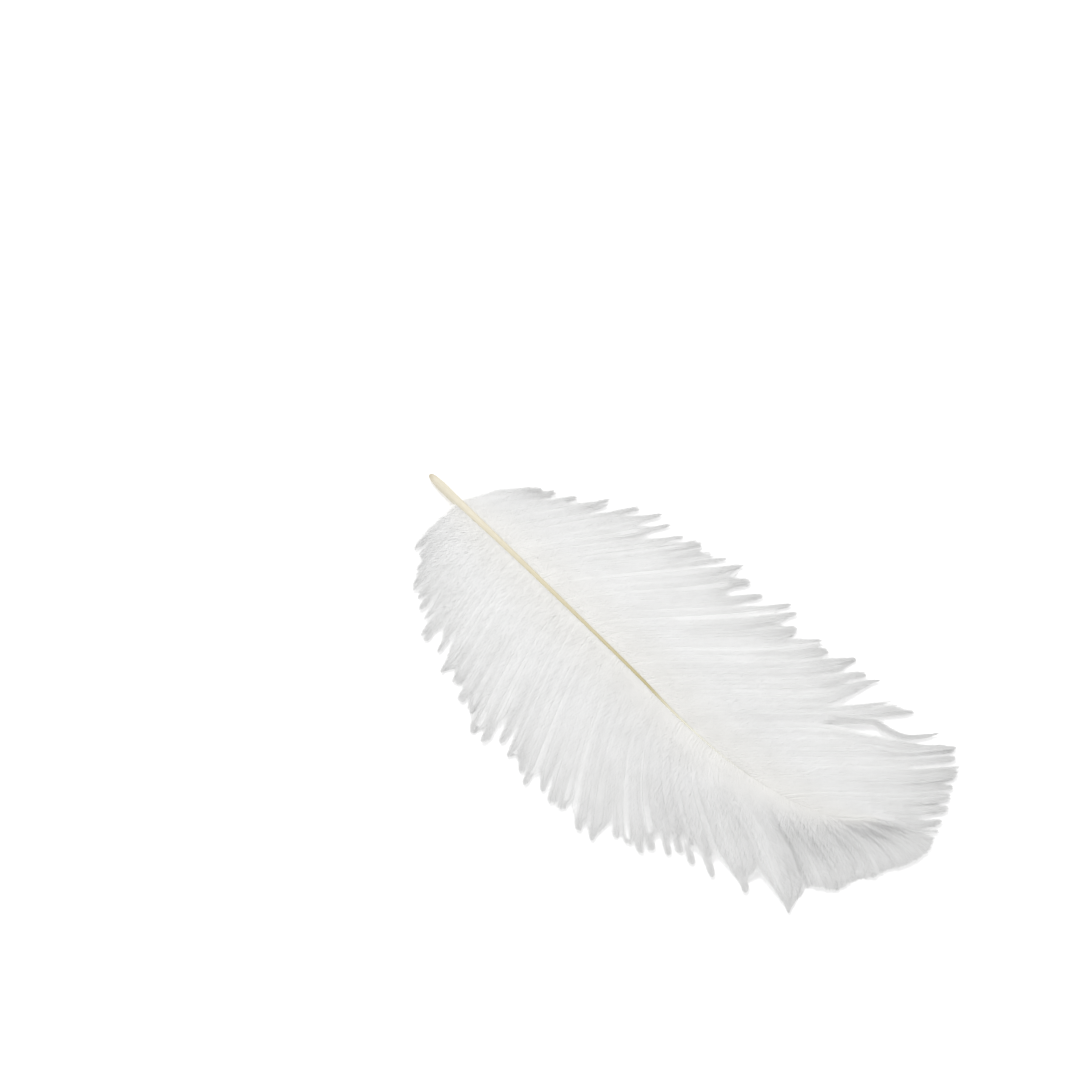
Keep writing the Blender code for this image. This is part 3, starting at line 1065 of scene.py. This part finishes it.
def bumped(tree, source, strength):
    """Fine relief as a change of the surface's normal."""
    node = add_node(tree, "ShaderNodeBump", Strength=strength, Distance=BUMP_DISTANCE, Height=source)
    return node.outputs["Normal"]


def barb_material():
    """Soft white keratin that lets some light through, creamier towards the shaft, with painted shade that
    greys the ends.
    """
    material, tree, shader = nodes_of("barbs")
    place = object_place(tree)
    share, left = uv_parts(tree, "Barb")
    mottle = noise(tree, place, Scale=90.0, Detail=4.0, Roughness=0.6)
    fine = noise(tree, place, Scale=2600.0, Detail=2.0)
    # painted shade: the barbs' colour greys towards each barb's end
    white = multiplied(tree, coloured(tree, share, BARB_WHITES), coloured(tree, left, BARB_PAINTED_END_SHADE))
    colour = multiplied(tree, white, coloured(tree, mottle, BARB_MOTTLE))
    roughness = ranged(tree, mottle, BARB_ROUGHNESS)
    normal = bumped(tree, fine, BARB_BUMP)
    set_inputs(tree, shader, Base_Color=colour, Roughness=roughness, Normal=normal)
    through = add_node(tree, "ShaderNodeBsdfTranslucent", Color=colour)
    mix = add_node(tree, "ShaderNodeMixShader", Fac=BARB_THROUGH)
    tree.links.new(shader.outputs[0], mix.inputs[1])
    tree.links.new(through.outputs[0], mix.inputs[2])
    set_inputs(tree, tree.nodes["Material Output"], Surface=mix.outputs[0])
    return material


def shaft_material():
    """Horny ivory with fine lengthwise streaks, palest towards the tip; its deepest band past its middle is
    partly the shaft's own deeper ivory and partly painted shadow.
    """
    material, tree, shader = nodes_of("shaft")
    share, _ = uv_parts(tree, "OFBake")
    stretch = add_node(tree, "ShaderNodeMapping", Vector=object_place(tree), Scale=STREAK_STRETCH)
    streaks = noise(tree, stretch.outputs["Vector"], Scale=2400.0, Detail=3.0, Roughness=0.6)
    # the shaft's ivory along its length, with painted shadow in its deepest band
    ivory = coloured(tree, share, SHAFT_IVORY_AND_SHADOW)
    colour = multiplied(tree, ivory, coloured(tree, streaks, SHAFT_STREAKS))
    roughness = ranged(tree, streaks, SHAFT_ROUGHNESS)
    normal = bumped(tree, streaks, SHAFT_BUMP)
    set_inputs(tree, shader, Base_Color=colour, Roughness=roughness, Normal=normal)
    set_inputs(tree, shader, Specular_IOR_Level=SHAFT_SPECULAR)
    return material


def add_camera():
    """The camera with its axes and its target."""
    right, up, target = Vector(CAMERA_RIGHT), Vector(CAMERA_UP), Vector(CAMERA_TARGET)
    back = right.cross(up).normalized()
    data = bpy.data.cameras.new("camera")
    data.lens = CAMERA_LENS
    data.sensor_width = CAMERA_SENSOR
    data.clip_start, data.clip_end = CAMERA_CLIP
    camera = bpy.data.objects.new("camera", data)
    axes = Matrix((right, up, back)).transposed()
    camera.matrix_world = Matrix.Translation(target + CAMERA_DISTANCE * back) @ axes.to_4x4()
    bpy.context.scene.collection.objects.link(camera)
    bpy.context.scene.camera = camera


def add_lamp():
    """A round soft lamp that points at the plume's middle."""
    data = bpy.data.lights.new("key", "AREA")
    data.shape = "DISK"
    data.size = LAMP_SIZE
    data.energy = LAMP_POWER
    data.color = LAMP_COLOUR
    lamp = bpy.data.objects.new("key", data)
    lamp.location = LAMP_PLACE
    lamp.rotation_euler = (-Vector(LAMP_PLACE)).to_track_quat("-Z", "Y").to_euler()
    bpy.context.scene.collection.objects.link(lamp)


def add_world():
    """Even white light from all round."""
    world = bpy.data.worlds.new("studio")
    world.use_nodes = True
    background = world.node_tree.nodes["Background"]
    set_inputs(world.node_tree, background, Color=WHITE, Strength=WORLD_STRENGTH)
    bpy.context.scene.world = world


def add_floor():
    """A wide matt floor."""
    bpy.ops.mesh.primitive_plane_add(size=FLOOR_SIZE, location=(0, 0, 0))
    floor = bpy.context.active_object
    floor.name = "floor"
    material, tree, shader = nodes_of("floor")
    set_inputs(tree, shader, Base_Color=FLOOR_COLOUR, Roughness=FLOOR_ROUGHNESS)
    set_inputs(tree, shader, Emission_Color=WHITE, Emission_Strength=FLOOR_GLOW)
    floor.data.materials.append(material)


def build():
    """The shaft and the two vanes, each made of pieces from the quill to the tip."""
    draw = np.random.default_rng(SEED)
    shares = np.linspace(0.0, 1.0, LINE_POINTS)
    shares = shares * (1 + END_CROWDING - END_CROWDING * shares)
    near = Vane(NEAR_VANE, shares)
    near.set_tufts(NEAR_TUFTS, NEAR_NOTCHES, NEAR_CORNERS, NEAR_MARGIN, draw)
    near.lay_barbs(NEAR_ROUGHNESS, draw)
    near.press_pleats(NEAR_PLEATS)
    far = Vane(FAR_VANE, shares)
    far.set_tufts(FAR_TUFTS, FAR_NOTCHES, (), FAR_MARGIN, draw)
    far.lay_barbs(FAR_ROUGHNESS, draw)
    far.add_strays(FAR_STRAYS, draw)
    parts = ("base", "inner", "outer", "tip")
    barbs = barb_material()
    pieces = [make_shaft(shaft_material())]
    pieces += make_vane("near_vane", near, parts, draw, barbs)
    pieces += make_vane("far_vane", far, parts, draw, barbs)
    for piece in pieces:
        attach(piece, "root")
        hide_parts("feather")


build()
add_camera()
add_world()
add_floor()
add_lamp()
bpy.context.scene.view_settings.view_transform = "Standard"
bpy.context.view_layer.update()
